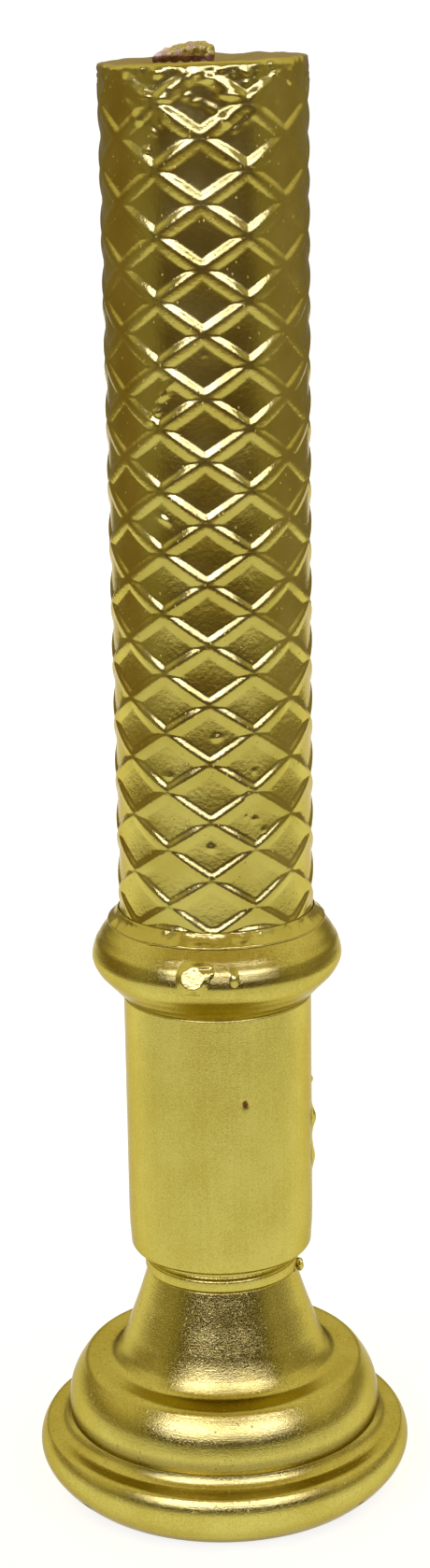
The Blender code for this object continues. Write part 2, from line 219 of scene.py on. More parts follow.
def lacquer(name, base, wave, dull_above=None):
    """Thick glossy gold lacquer. base: least roughness; wave: height of its ripple in mm.

    Above dull_above, inside the rim, it lies thin and dull on level wax.
    """
    made, graph, shader, place = material(name)
    cloud = graph.noise(place, 0.09, 3.0)
    ripple = graph.noise(place, 0.9, 2.0)
    speckle = graph.noise(place, 4.0, 2.0, 0.6)
    tone = graph.plus(graph.times(cloud, 0.6), graph.times(speckle, 0.4))
    colour = graph.blend(graph.spread(tone, 0.35, 0.65), GOLD_DEEP, GOLD_PALE)
    colour = graph.blend(0.45, GOLD, colour)
    rough = graph.plus(graph.times(cloud, 0.12), graph.plus(graph.times(speckle, 0.06), base))
    normal = graph.bump(ripple, wave * MM)
    normal = graph.bump(speckle, 0.012 * MM, normal)
    grit = graph.add("TexVoronoi", {"Vector": place, "Scale": 0.8})
    chosen = graph.spread(grit.outputs["Color"], 0.74, 0.78)
    dome = graph.times(graph.spread(grit.outputs["Distance"], 0.08, 0.24, 1.0, 0.0), chosen)
    normal = graph.bump(dome, 0.09 * MM, normal)
    if dull_above:
        x, y, z = graph.axes(place)
        radius = graph.math("SQRT", graph.plus(graph.times(x, x), graph.times(y, y)))
        level = graph.times(graph.spread(z, dull_above, dull_above + 0.5),
                            graph.spread(radius, CANDLE_R - 2.2, CANDLE_R - 1.2, 1.0, 0.0))
        colour = graph.blend(graph.times(level, 0.75), colour, DULL_WAX)
        rough = graph.plus(rough, graph.times(level, 0.35))
    feed(graph, shader, Base_Color=colour, Roughness=rough, Normal=normal, Metallic=1.0,
         Specular_Tint=GOLD_EDGE, Coat_Weight=0.12, Coat_Roughness=0.08, Coat_IOR=1.45)
    return made


def metal(name, colour_low, colour_high, rough_low, rough_high, turned_marks):
    """Bare metal with turning marks; turned_marks stretches their noise along each axis."""
    made, graph, shader, place = material(name)
    cloud = graph.noise(place, 0.25, 4.0)
    marks = graph.noise(graph.stretch(place, turned_marks), 2.5, 3.0, 0.6)
    feed(graph, shader, Base_Color=graph.blend(graph.spread(cloud, 0.3, 0.7), colour_low, colour_high),
         Roughness=graph.spread(marks, 0.3, 0.7, rough_low, rough_high),
         Normal=graph.bump(marks, 0.02 * MM), Metallic=1.0)
    return made


def felt():
    """Green felt with short fibres."""
    made, graph, shader, place = material("felt")
    fibre = graph.noise(place, 2.2, 5.0, 0.7, 1.5)
    mat = graph.noise(place, 0.3, 3.0)
    colour = graph.blend(graph.plus(graph.times(fibre, 0.6), graph.times(mat, 0.4)), FELT_DARK, FELT_LIGHT)
    feed(graph, shader, Base_Color=colour, Roughness=graph.spread(fibre, 0.3, 0.7, 0.85, 1.0),
         Normal=graph.bump(fibre, 0.2 * MM), Sheen_Weight=0.5, Sheen_Roughness=0.5)
    return made


def wick_cotton():
    """Braided cotton soaked in gold lacquer: pale at its thin end, dark brown underneath as painted shade."""
    made, graph, shader, place = material("wick")
    strand = graph.noise(graph.stretch(place, (0.8, 2.0, 2.0)), 1.6, 3.0, 0.6, 0.8)
    cover = graph.noise(place, 0.45, 2.0)
    x, _, z = graph.axes(place)
    # painted shade: the wick's lower part, under its arch, is coloured dark brown and left without gold
    under = graph.spread(graph.plus(z, graph.times(cover, 0.8)), 376.6, 377.2, 1.0, 0.0)
    pale = graph.times(graph.spread(x, -9.5, -6.5, 1.0, 0.0), graph.spread(cover, 0.35, 0.55))
    ungilt = graph.math("MAXIMUM", under, pale)
    gilt = graph.times(graph.spread(cover, 0.38, 0.54), graph.math("SUBTRACT", 1.0, ungilt))
    colour = graph.blend(pale, COTTON, COTTON_PALE)
    colour = graph.blend(under, colour, WICK_SHADE)
    colour = graph.blend(gilt, colour, GOLD)
    feed(graph, shader, Base_Color=colour, Roughness=graph.spread(strand, 0.3, 0.7, 0.14, 0.36),
         Metallic=gilt, Normal=graph.bump(strand, 0.16 * MM), Coat_Weight=0.3, Coat_Roughness=0.1)
    return made


# ---------------------------------------------------------------- meshes
def piece(name, points, quads, finish, body, replaced=(), triangles=None):
    """Smooth-shaded mesh from points in millimetres and faces, riding on a body."""
    mesh = bpy.data.meshes.new(name)
    cells = [tuple(face) for face in quads.tolist()]
    if triangles is not None:
        cells += [tuple(face) for face in triangles.tolist()]
    mesh.from_pydata((points * MM).tolist(), [], cells)
    mesh.shade_smooth()
    mesh.materials.append(finish)
    made = bpy.data.objects.new(name, mesh)
    bpy.context.scene.collection.objects.link(made)
    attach(made, body)
    if replaced:
        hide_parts(*replaced)


def curve_through(points, steps):
    """Smooth line through points, with so many steps from one to the next."""
    padded = [points[0], *points, points[-1]]
    smooth = [points[0]]
    for before, start, end, after in zip(padded, padded[1:], padded[2:], padded[3:]):
        for step in range(1, steps + 1):
            t = step / steps
            smooth.append(tuple(
                0.5 * (2 * b + (c - a) * t + (2 * a - 5 * b + 4 * c - d) * t ** 2
                       + (3 * b - 3 * c + d - a) * t ** 3)
                for a, b, c, d in zip(before, start, end, after)))
    return smooth


def arc(centre, reach, start, end, steps):
    """(r, z) points on part of a circle."""
    turns = [math.radians(start + (end - start) * i / steps) for i in range(steps + 1)]
    return [(centre[0] + reach * math.cos(t), centre[1] + reach * math.sin(t)) for t in turns]


def around(r, turn, z):
    """Rows of points from radii, turns in degrees and heights."""
    angle = np.radians(turn)
    return np.stack([r * np.sin(angle), -r * np.cos(angle), z], 2).reshape(-1, 3)


def corners(rows, columns, joined_ends=False, joined_sides=True):
    """Point numbers of each cell's corners, counted from its lower left, in a grid of points."""
    i, j = np.meshgrid(np.arange(rows if joined_ends else rows - 1),
                       np.arange(columns if joined_sides else columns - 1), indexing="ij")
    above, after = (i + 1) % rows, (j + 1) % columns
    return i * columns + j, i * columns + after, above * columns + after, above * columns + j


def faces(*points):
    """One face from each place in the given grids of point numbers."""
    return np.stack([numbers.ravel() for numbers in points], 1)


def caps(columns, base, low, high):
    """Triangles that close a tube: its first row round point low, the row from base on round point high."""
    column = np.arange(columns)
    after = (column + 1) % columns
    return [faces(np.full(columns, low), after, column),
            faces(base + column, base + after, np.full(columns, high))]


def spaced(points, step):
    """The same line with points no further apart than step."""
    made = [points[0]]
    for (r0, z0), (r1, z1) in zip(points, points[1:]):
        count = max(1, math.ceil(math.hypot(r1 - r0, z1 - z0) / step))
        made += [(r0 + (r1 - r0) * i / count, z0 + (z1 - z0) * i / count) for i in range(1, count + 1)]
    return made


def turned(name, outside, inside, finish, body, replaced=(), sides=256, step=0.5, shift=None):
    """Closed turned piece. outside and inside are (r, z) lines; shift(turn, z) moves the outside skin out."""
    skin = np.array(spaced(outside, step))
    bore = np.array(spaced(inside, 4.0))
    slope = np.gradient(skin, axis=0)
    normal = np.stack([slope[:, 1], -slope[:, 0]], 1)
    normal /= np.linalg.norm(normal, axis=1, keepdims=True)
    if skin[-1, 1] < skin[0, 1]:
        normal = -normal
    turn = np.arange(sides)[None, :] * 360.0 / sides
    r = np.repeat(skin[:, :1], sides, 1)
    z = np.repeat(skin[:, 1:], sides, 1)
    if shift is not None:
        row = np.arange(len(skin))
        fade = np.clip(np.minimum(row, len(skin) - 1 - row) / 2.0, 0, 1)      # the edges stay put
        moved = shift(turn, z) * fade[:, None]
        r, z = r + moved * normal[:, :1], z + moved * normal[:, 1:]
    r = np.concatenate([r, np.repeat(bore[:, :1], sides, 1)])
    z = np.concatenate([z, np.repeat(bore[:, 1:], sides, 1)])
    cells = corners(len(r), sides, joined_ends=True)
    if skin[-1, 1] <= skin[0, 1]:
        cells = cells[::-1]
    piece(name, around(r, turn, z), faces(*cells), finish, body, replaced)


def lump(turn, z, at, height_at, wide, tall, proud, radius, slant=0.0):
    """Height of one soft lump; wide and tall are half sizes in mm, slant in degrees."""
    away = (turn - at + 180.0) % 360.0 - 180.0
    across, up = np.radians(away) * radius, z - height_at
    c, s = math.cos(math.radians(slant)), math.sin(math.radians(slant))
    along, over = across * c + up * s, up * c - across * s
    return proud * np.exp(-((along / wide) ** 2 + (over / tall) ** 2))


def ripples(seed, count, low, high, wide, proud, radius):
    """Function of (turn, z): many random soft lumps between two heights."""
    draw = np.random.default_rng(seed)
    turns, heights = draw.uniform(0, 360, count), draw.uniform(low, high, count)
    sizes, signs = draw.uniform(0.5, 1.3, count) * wide, draw.uniform(-1.0, 1.0, count) * proud

    def height(turn, z):
        total = np.zeros(np.broadcast(turn, z).shape)
        for at, up, size, amount in zip(turns, heights, sizes, signs):
            total += lump(turn, z, at, up, size, size, amount, radius)
        return total
    return height


# ---------------------------------------------------------------- foot
def foot(gold_foot, gold_ring):
    """Plinth moulding, bell and neck ring, each a closed turning."""
    wobble = ripples(3, 40, 0, 62, 9.0, 0.05, 40.0)
    roll = curve_through([(43.2, 1.9), (44.4, 2.6), (46.1, 4.1), (47.4, 5.4), (48.4, 6.7), (49.3, 8.0),
                          (49.9, 9.2), (50.4, 10.6), (50.6, 12.0), (50.55, 13.2), (50.3, 14.4), (49.9, 15.5),
                          (49.3, 16.6), (48.7, 17.35), (47.8, 17.6)], 6)
    cove = curve_through([(45.2, 17.7), (44.3, 17.9), (43.6, 18.4), (43.0, 19.1), (42.5, 20.0),
                          (42.2, 20.7)], 5)
    recess = [(ROD_BORE, 20.7), (ROD_BORE, 10.0), (16.0, 10.0), (16.0, 1.9)]
    turned("foot_plinth_skin", roll + cove, recess, gold_foot, "stick", ["foot_plinth"], 320,
           shift=wobble)
    bell = curve_through([(42.2, 21.0), (42.4, 22.4), (42.4, 24.6), (42.2, 26.5), (41.7, 28.8), (41.1, 30.5),
                          (40.3, 32.2), (39.4, 33.75), (38.4, 35.2), (37.7, 36.1), (36.9, 36.7),
                          (35.8, 36.9), (33.8, 36.85), (31.6, 36.85), (30.6, 37.0), (29.8, 37.5),
                          (29.2, 38.2), (28.5, 39.2), (27.9, 40.2), (26.9, 42.4), (26.0, 44.6), (25.2, 46.9),
                          (24.0, 50.3), (22.8, 53.7), (21.7, 57.1), (20.6, 60.5), (19.9, 62.7)], 5)
    tenon = [(11.0, 62.7), (11.0, 82.0), (ROD_BORE, 82.0), (ROD_BORE, 21.0)]
    turned("foot_bell_skin", bell, tenon, gold_foot, "stick", ["foot_bell"], 288, shift=wobble)
    ring = [(19.8, 63.0), (20.3, 63.1), (20.6, 63.4), (20.7, 63.9), (20.75, 65.3), (20.65, 66.2),
            (20.3, 66.6), (19.8, 66.9), (19.75, 67.3), (19.8, 69.2)]
    turned("neck_ring_skin", ring, [(TENON_BORE, 69.2), (TENON_BORE, 63.0)], gold_ring, "stick",
           ["neck_ring"], 256)


# ---------------------------------------------------------------- stem and socket
BARREL_CHIP = (15.8, 117.7)             # turn, z
COLLAR_LINE = [(24.8, 141.3), (25.8, 142.4), (26.9, 143.4), (27.9, 144.5), (29.0, 145.6), (30.0, 146.7),
               (31.0, 147.8), (31.8, 149.1), (32.4, 150.4), (32.7, 151.9), (32.5, 153.4), (32.1, 154.8),
               (31.6, 156.2), (30.8, 157.5), (30.0, 158.8), (29.1, 160.0), (28.2, 161.2), (27.8, 161.6)]


def collar_radius(z):
    section = np.array(curve_through(COLLAR_LINE, 4))
    return np.interp(z, section[:, 1], section[:, 0])


def stem(gold_barrel, gold_collar, brass, steel):
    """Barrel, collar, the cup in the socket and the spike."""
    dents = ripples(5, 60, 70, 141, 6.0, 0.035, BARREL_R)

    def barrel_shift(turn, z):
        return dents(turn, z) + lump(turn, z, *BARREL_CHIP, 0.8, 1.0, -0.35, BARREL_R)

    barrel = arc((22.7, 71.1), 1.6, -90, 0, 12) + [(24.6, 76.0), (BARREL_R, 80.0), (BARREL_R, 141.0)]
    spigot = [(22.0, 141.0), (22.0, 144.8), (5.3, 144.8), (5.3, 131.7), (ROD_BORE, 131.7), (ROD_BORE, 82.3),
              (TENON_BORE, 82.3), (TENON_BORE, 69.5)]
    turned("barrel_skin", barrel, spigot, gold_barrel, "stick", ["barrel"], 256,
           shift=barrel_shift)
    socket = [(26.8, 161.6), (26.8, 144.8), (22.3, 144.8), (22.3, 141.3)]
    turned("collar_skin", curve_through(COLLAR_LINE, 4), socket, gold_collar, "stick",
           ["collar"], 288, shift=ripples(8, 30, 141, 162, 5.0, 0.05, COLLAR_R))
    turned("candle_cup_skin", [(5.3, 145.1), (26.5, 145.1), (26.5, 161.0)],
           [(25.8, 161.0), (25.8, 145.8), (5.3, 145.8)], brass, "stick", ["candle_cup"],
           192, 1.5)
    spike = [(5.0, 132.0), (5.0, 146.1), (9.0, 146.1), (9.0, 147.3), (3.2, 147.3), (0.4, 174.0),
             (0.05, 174.3)]
    rod_end = [(0.05, 143.7), (ROD_BORE, 143.7), (ROD_BORE, 132.0)]
    turned("pricket_skin", spike, rod_end, steel, "stick", ["pricket"], 64, 0.6)


# ---------------------------------------------------------------- candle
DIAMONDS = 7
PITCH = 14.99
CROSSING_Z, CROSSING_TURN = 358.5, -2.1  # one crossing of the ribs
CANDLE_R, CANDLE_TOP = 25.4, 375.0
CANDLE_SEEN = 161.4                     # the moulded side starts just above the collar
HALF = 15                               # mesh cells in half a diamond, round and up
COLUMNS = 2 * HALF * DIAMONDS
RISE = PITCH / (2 * HALF)
WIDTH = 2 * math.pi * CANDLE_R / DIAMONDS
LINE_UNIT = 1.0 / math.hypot(1.0 / WIDTH, 1.0 / PITCH)
RELIEF, CREST = 0.66, 0.33              # height of a rib, width of its rounded top
LEAN_TOP, LEAN_FOOT = 0.18, 0.37        # slope of a rib's upper flank at the candle's top and foot
PANEL_LOW, PANEL_RISE, HOLLOW = 0.10, 0.24, 0.20


def lattice(turn, z):
    """Height of the moulding above the panels' edge, with hollow panels between raised ribs."""
    round_, up = (turn - CROSSING_TURN) / (360.0 / DIAMONDS), (z - CROSSING_Z) / PITCH
    ribs, shares, near = [], [], 0.0
    for line in (up + round_, up - round_):
        away = (line - np.round(line)) * LINE_UNIT
        lean = np.interp(z, [160.0, 350.0], [LEAN_FOOT, LEAN_TOP])
        steep, bend = np.where(away > 0, lean, 0.10), np.where(away > 0, 0.14, 0.11)
        ribs.append(RELIEF - steep * (np.hypot(away, CREST) - CREST) - bend * away ** 2 / 2.0)
        shares.append(line - np.floor(line))
        near = near + (away / 0.7) ** 2
    dish = 16.0 * shares[0] * (1.0 - shares[0]) * shares[1] * (1.0 - shares[1])
    panel = PANEL_LOW + PANEL_RISE * (shares[0] + shares[1]) / 2.0 - HOLLOW * dish
    return np.maximum(np.maximum(*ribs), panel) - 0.12 * np.exp(-near)


def candle_lumps(turn, z):
    """Runs and blobs of hardened lacquer on the candle."""
    total = np.zeros(np.broadcast(turn, z).shape)
    draw = np.random.default_rng(11)
    for at, up, wide, tall, proud, slant in RUNS:
        total += lump(turn, z, at, up, wide, tall, proud, CANDLE_R, slant)
    for _ in range(260):                                         # beaded rim
        size = draw.uniform(0.40, 0.8)
        total += lump(turn, z, draw.uniform(0, 360), 374.4 - abs(draw.normal(0, 2.4)), size * 1.5, size,
                      draw.uniform(0.10, 0.34), CANDLE_R)
    for _ in range(70):                                          # grit anywhere
        size = draw.uniform(0.25, 0.5)
        total += lump(turn, z, draw.uniform(0, 360), draw.uniform(166, 366), size, size,
                      draw.uniform(0.08, 0.22), CANDLE_R)
    return total


RUNS = [
    # turn, z, half width, half height, proud, slant
    (-31, 367.9, 2.6, 0.72, 0.34, 0), (-22, 367.1, 1.9, 0.64, 0.31, -8), (-45, 365.9, 2.3, 0.88, 0.31, -34),
    (-38, 362.7, 1.9, 0.88, 0.34, -34), (-29, 359.8, 1.6, 0.8, 0.34, -30),
    (-24.5, 361.9, 0.79, 1.3, 0.31, 20), (-20, 364.3, 0.72, 1.3, 0.28, 25), (-9, 367.7, 1.3, 1, 0.37, 0),
    (-4, 366.3, 1.2, 0.72, 0.25, 0),
    (4, 365.0, 1.9, 0.72, 0.28, -33), (11, 362.2, 1.7, 0.8, 0.28, -33), (17, 360.0, 0.94, 0.8, 0.25, 0),
    (25, 362.5, 1.9, 0.72, 0.25, 33), (32, 365.9, 1.6, 0.72, 0.28, 33), (14, 367.7, 3.3, 0.64, 0.31, 0),
    (-33, 355.7, 0.8, 0.6, 0.45, 0), (38, 353.0, 0.5, 0.5, 0.3, 0), (44, 365.0, 1, 1.3, 0.31, 0),
    (-26, 299.0, 2.0, 0.9, 0.5, 33), (-22, 301.3, 1.3, 0.7, 0.45, 33), (-30, 294.9, 1.4, 0.8, 0.5, 33),
    (-33, 293.1, 0.9, 0.7, 0.4, 0), (-27, 269.4, 1.9, 0.7, 0.5, -30), (2, 215.4, 0.9, 0.7, 0.45, 0),
    (-27, 205.0, 0.9, 0.6, 0.4, 0), (19, 200.5, 0.8, 0.6, 0.35, 0), (24, 193.8, 0.7, 0.6, 0.35, 0),
    (-2.5, 187.1, 0.8, 0.8, 0.5, 0), (30, 190.7, 0.7, 0.5, 0.3, 0),
]


SPIKE_HOLE = [(0.6, 175.0), (3.5, 147.6), (24.2, 147.6), (24.6, 148.1), (24.75, 158.0)]
WICK_BORE = 1.95
MELTED_TOP = [(0.992, 0.35), (0.975, 0.66), (0.95, 0.80), (0.92, 0.82), (0.88, 0.7), (0.80, 0.45),
              (0.68, 0.2), (0.52, -0.05), (0.36, -0.2), (0.22, -0.3), (0.115, -0.4)]


def candle(finish):
    """Moulded side, rim, melted top and the bores for the spike and the wick, in one closed mesh."""
    last = CANDLE_TOP - 0.9                                      # top of the moulded side
    rows = int((last - CANDLE_SEEN) / RISE)
    side = CROSSING_TURN + np.arange(COLUMNS) * 360.0 / COLUMNS
    z = np.repeat((last - rows * RISE + np.arange(rows + 1) * RISE)[:, None], COLUMNS, 1)
    skin = candle_skin(side[None, :], z)

    def flat_ring(radius, height):
        return np.full(COLUMNS, radius), np.full(COLUMNS, height)

    rings = [flat_ring(*ring) for ring in SPIKE_HOLE]
    rings += [(skin[i], z[i]) for i in range(rows + 1)]
    bank = 1.9 * (np.cos(np.radians(side - 140.0)) + 1.0) / 2.0  # the far right of the rim stands higher
    dimples = ripples(17, 90, -1, 1, 1.9, 0.42, 22.0)(side, np.zeros_like(side))
    for share, rise in MELTED_TOP:                               # share of the rim's radius, height
        rough = dimples * min(1.0, 3.0 * share * (1.0 - share) + 0.35)
        tilt = bank * min(1.0, share * 1.3) * (share > 0.3)
        rings.append((skin[-1] * share, last + rise + rough * 0.8 + tilt))
    rings += [flat_ring(WICK_BORE, last - 1.5), flat_ring(WICK_BORE, 186.0)]
    r, z = np.array([ring[0] for ring in rings]), np.array([ring[1] for ring in rings])
    points = np.concatenate([around(r, side[None, :], z), [[0, 0, 175.5], [0, 0, 185.9]]])
    a, b, c, d = corners(len(rings), COLUMNS)
    i, j = np.meshgrid(np.arange(len(rings) - 1), np.arange(COLUMNS), indexing="ij")
    level = np.round((last - CROSSING_Z) / RISE).astype(int) - rows + i - len(SPIKE_HOLE)
    rising = off_rib(j - level) < off_rib(j + level + 1)         # a cell is split along the nearer rib
    split = rising[..., None]
    first = np.where(split, np.stack([a, b, c], 2), np.stack([a, b, d], 2)).reshape(-1, 3)
    second = np.where(split, np.stack([a, c, d], 2), np.stack([b, c, d], 2)).reshape(-1, 3)
    ends = caps(COLUMNS, (len(rings) - 1) * COLUMNS, len(points) - 2, len(points) - 1)
    piece("candle_body", points, np.concatenate([first, second, *ends]), finish, "candle",
          ["candle"])


def candle_skin(turn, z):
    """Radius of the candle's side, with the ribs fading out at the rim and under the fillet of lacquer."""
    ease = np.clip((z - 162.6) / 2.2, 0, 1) * np.clip((CANDLE_TOP + 0.3 - z) / 2.2, 0, 1) ** 0.5
    skin = CANDLE_R - RELIEF + lattice(turn, z) * ease + candle_lumps(turn, z)
    skin = np.minimum(skin, CANDLE_R + 0.75)
    skin = np.where(z < 165.6, np.minimum(skin, CANDLE_R - 0.02), skin)
    return np.maximum(skin, CANDLE_R - 0.05 - 0.9 * np.clip((z - 165.0) / 1.6, 0, 1))


def off_rib(step):
    """Cells from a column to the nearest rib."""
    return np.abs((step + HALF) % (2 * HALF) - HALF)


def wick(finish):
    """Wick pressed over to the left under a thick coat of lacquer: a swept tube with swellings."""
    line = np.array(curve_through([(0, 0, 187.0), (0, 0, 260.0), (0, 0, 340.0), (0, 0, 371.5),
                                   (0.2, 0, 373.9), (1.1, 0, 375.6), (1.6, 0, 377.0), (0.9, 0, 378.0),
                                   (-1.2, -0.1, 378.25), (-3.6, -0.3, 378.0), (-6.2, -0.6, 377.4),
                                   (-8.6, -0.8, 376.7), (-10.6, -1.0, 376.1), (-12.0, -1.1, 375.7)], 8))
    slope = np.gradient(line, axis=0)
    slope /= np.linalg.norm(slope, axis=1, keepdims=True)
    side = np.cross(slope, (0, 1, 0))
    side /= np.linalg.norm(side, axis=1, keepdims=True)
    over = np.cross(slope, side)
    sides = 48
    angle = np.arange(sides) * math.tau / sides
    draw = np.random.default_rng(23)
    rows = []
    for index, (place, a, b) in enumerate(zip(line, side, over)):
        share = index / (len(line) - 1)
        coated = place[2] >= 374.6
        size = 1.48 + (0.07 * math.sin(index * 1.1) + draw.uniform(-0.05, 0.05) if coated else 0.0)
        size *= min(1.0, 0.30 + 5.0 * (1.0 - share))
        ripple = 1.0 + (0.07 * np.sin(3 * angle + index * 0.7) if coated else 0.0)
        offset = np.outer(np.cos(angle) * size * ripple, a) + np.outer(np.sin(angle) * size * ripple, b)
        if coated:
            web = np.clip(-offset[:, 2] / size - 0.45, 0, 1) / 0.55      # stem that joins the wick to the wax
            bridge = math.exp(-((place[0] + 4.9) / 1.1) ** 2)
            offset[:, 2] -= web * max(0.0, place[2] - size - 374.9)
            offset[:, 1] *= 1.35 * (1.0 - 0.75 * web * (1.0 - bridge))
        rows.append(place + offset)
    points = np.concatenate([np.concatenate(rows), line[:1], line[-1:]])
    ends = np.concatenate(caps(sides, (len(rows) - 1) * sides, len(points) - 2, len(points) - 1))
    piece("wick_cord", points, faces(*corners(len(rows), sides)), finish, "candle", ["wick"], ends)


# ---------------------------------------------------------------- lacquer on the stick
def pool(finish):
    """Low uneven ring of lacquer round the candle's foot."""
    lumps = ripples(31, 150, 161, 166, 1.2, 0.34, 27.0)

    def shift(turn, z):
        return np.clip(lumps(turn, z), -0.15, 0.6)

    outside = curve_through([(28.0, 161.8), (28.3, 161.4), (28.35, 161.8), (27.7, 162.4), (26.9, 163.0),
                             (26.3, 163.7), (25.85, 164.5), (25.6, 164.9)], 4)
    turned("lacquer_pool_skin", outside, [(25.48, 164.7), (25.6, 161.9), (27.6, 161.9)], finish, "stick",
           ["lacquer_pool"], 300, 0.3, shift=shift)


PATCH_DEPTH = 0.25                      # how far a drip reaches into the surface it lies on


def patch(name, at, low, high, half_turn, radius_at, height_at, finish, replaced):
    """Closed shell that lies on a turned surface: height_at(turn, z) is its height over the surface."""
    rows, columns = 56, 48
    z, turn = np.meshgrid(np.linspace(low, high, rows), at + np.linspace(-half_turn, half_turn, columns),
                          indexing="ij")
    base = radius_at(z)
    under = base - PATCH_DEPTH
    top = np.maximum(base + height_at(turn, z), under + 0.02)
    points = np.concatenate([around(top, turn, z), around(under, turn, z)])
    grid = faces(*corners(rows, columns, joined_sides=False))
    count = rows * columns
    edge = np.concatenate([np.arange(columns), np.arange(1, rows) * columns + columns - 1,
                           (rows - 1) * columns + np.arange(columns - 2, -1, -1),
                           np.arange(rows - 2, 0, -1) * columns])
    after = np.roll(edge, -1)
    rim = faces(edge, edge + count, after + count, after)
    piece(name, points, np.concatenate([grid, grid[:, ::-1] + count, rim]), finish, "stick",
          replaced)


def drips(finish):
    """Hardened lacquer that ran down the collar, the barrel and the neck."""
    def large(turn, z):
        body = (lump(turn, z, -11.2, 154.8, 2.9, 3.0, 2.4, COLLAR_R)
                + lump(turn, z, -8.0, 157.9, 3.2, 0.5, 0.6, COLLAR_R))
        flat = 32.85 - 0.36 * (z - 154.6) - collar_radius(z)
        return (np.minimum(body - 0.22, np.maximum(flat, 0.12))
                + lump(turn, z, -2.2, 156.4, 0.5, 1.2, 0.5, COLLAR_R))

    def small(turn, z):
        return lump(turn, z, 7.6, 155.0, 1.1, 2.0, 0.9, COLLAR_R) - 0.2

    def run(turn, z):
        beads = ((116.0, 1.1, 0.9, 0.55), (105.2, 1.5, 2.5, 1.1), (94.0, 1.3, 2.8, 0.75),
                 (101.0, 0.8, 12.0, 0.28))                       # z, half width, half height, proud
        return sum(lump(turn, z, 88, *bead, BARREL_R) for bead in beads) - 0.2

    patch("collar_drip_large_skin", -8.5, 150.6, 160.6, 10.5, collar_radius, large, finish,
          ["collar_drip_large"])
    patch("collar_drip_small_skin", 7.8, 151.2, 159.4, 5.0, collar_radius, small, finish,
          ["collar_drip_small"])
    patch("barrel_run_skin", 88, 87.5, 119.0, 7.5, lambda z: np.full_like(z, BARREL_R), run, finish,
          ["barrel_run"])
    neck_drop(finish)


def neck_drop(finish):
    """Uneven drop that hangs where the barrel meets the neck ring."""
    rows, sides = 40, 40
    down, round_ = np.meshgrid(np.linspace(0, math.pi, rows), np.arange(sides) * math.tau / sides,
                               indexing="ij")
    uneven = 1.0 + 0.13 * np.sin(3 * round_ + 4 * down) * np.sin(down) + 0.12 * np.cos(2.0 * down)
    shape = np.stack([1.2 * uneven * np.sin(down) * np.cos(round_),
                      1.1 * uneven * np.sin(down) * np.sin(round_), 1.7 * uneven * np.cos(down)], 2)
    points = (shape + on_cylinder(82.0, 21.2, 63.2)).reshape(-1, 3)
    a, b, c, d = corners(rows, sides)
    piece("neck_drip_skin", points, faces(a, d, c, b), finish, "stick", ["neck_drip"])


# ---------------------------------------------------------------- studio
LEVEL, AHEAD, BELOW = (0.115, 0.074, 0.030, 1), (0.070, 0.050, 0.022, 1), (0.40, 0.31, 0.13, 1)
SIDE, LEFT, RIGHT = (0.30, 0.255, 0.13, 1), (0.27, 0.19, 0.08, 1), (0.32, 0.26, 0.18, 1)
BACK, CEILING, HIGH_SIDE = (0.34, 0.30, 0.23, 1), (0.58, 0.46, 0.22, 1), (0.86, 0.78, 0.54, 1)
SEEN = (1.05, 1.05, 1.05, 1)            # what the camera sees past the floor
LAMP_ELEVATION, LAMP_DISTANCE, LAMP_AIM = 28.0, 1.6, (0.0, 0.0, 0.12)
LAMP_TINT = (1.0, 0.98, 1.9)            # cool, so that the gold's highlights come out near white
LAMPS = [
    # name, azimuth, width, height, radiance
    ("key_left", -28, 0.95, 0.42, 6.0),
    ("fill_front", 3, 0.66, 0.38, 3.0),
    ("fill_right", 33, 0.90, 0.40, 4.5),
]
FLOOR_SIDE, FLOOR_FRONT, FLOOR_BACK = 0.66, -0.66, 3.0
PAPER, PAPER_PALE = (0.36, 0.37, 0.22, 1), (0.38, 0.39, 0.23, 1)         # white under the cool lamps
CAMERA_PLACE = (0.0, -0.697, 0.3815)
CAMERA_DOWN, CAMERA_ROLL = 17.45, -0.016                 # degrees, radians
LENS, SHIFT = 64.24, (-0.0008, 0.0819)


def world():
    """Studio as seen in reflections: warm and dim, darkest in front, lighter high at the sides."""
    made = bpy.data.worlds.new("studio")
    bpy.context.scene.world = made
    made.use_nodes = True
    graph = Graph(made.node_tree)
    x, y, z = graph.axes(graph.add("TexCoord").outputs["Generated"])
    elevation = graph.times(graph.math("ARCSINE", z), 180 / math.pi)
    azimuth = graph.math("ABSOLUTE", graph.math("ARCTAN2", x, graph.times(y, -1.0)))
    azimuth = graph.times(azimuth, 180 / math.pi)                # 0 in front, 180 behind
    front = graph.blend(graph.spread(elevation, -2.0, 6.0), LEVEL, AHEAD)
    front = graph.blend(graph.spread(elevation, -22.0, -9.0), BELOW, front)
    flank = graph.blend(graph.spread(x, -0.1, 0.1), LEFT, RIGHT)
    room = graph.blend(graph.spread(azimuth, 46.0, 66.0), front, SIDE)
    room = graph.blend(graph.spread(azimuth, 82.0, 94.0), room, flank)
    room = graph.blend(graph.spread(azimuth, 112.0, 150.0), room, BACK)
    room = graph.blend(graph.spread(elevation, 36.0, 46.0), room, CEILING)
    high = graph.times(graph.spread(elevation, 8.0, 20.0), graph.spread(azimuth, 56.0, 80.0))
    room = graph.blend(high, room, HIGH_SIDE)
    colour = graph.blend(graph.add("LightPath").outputs["Is Camera Ray"], room, SEEN)
    background = graph.add("Background", {"Color": colour, "Strength": 1.0})
    graph.add("OutputWorld", {0: background.outputs[0]})


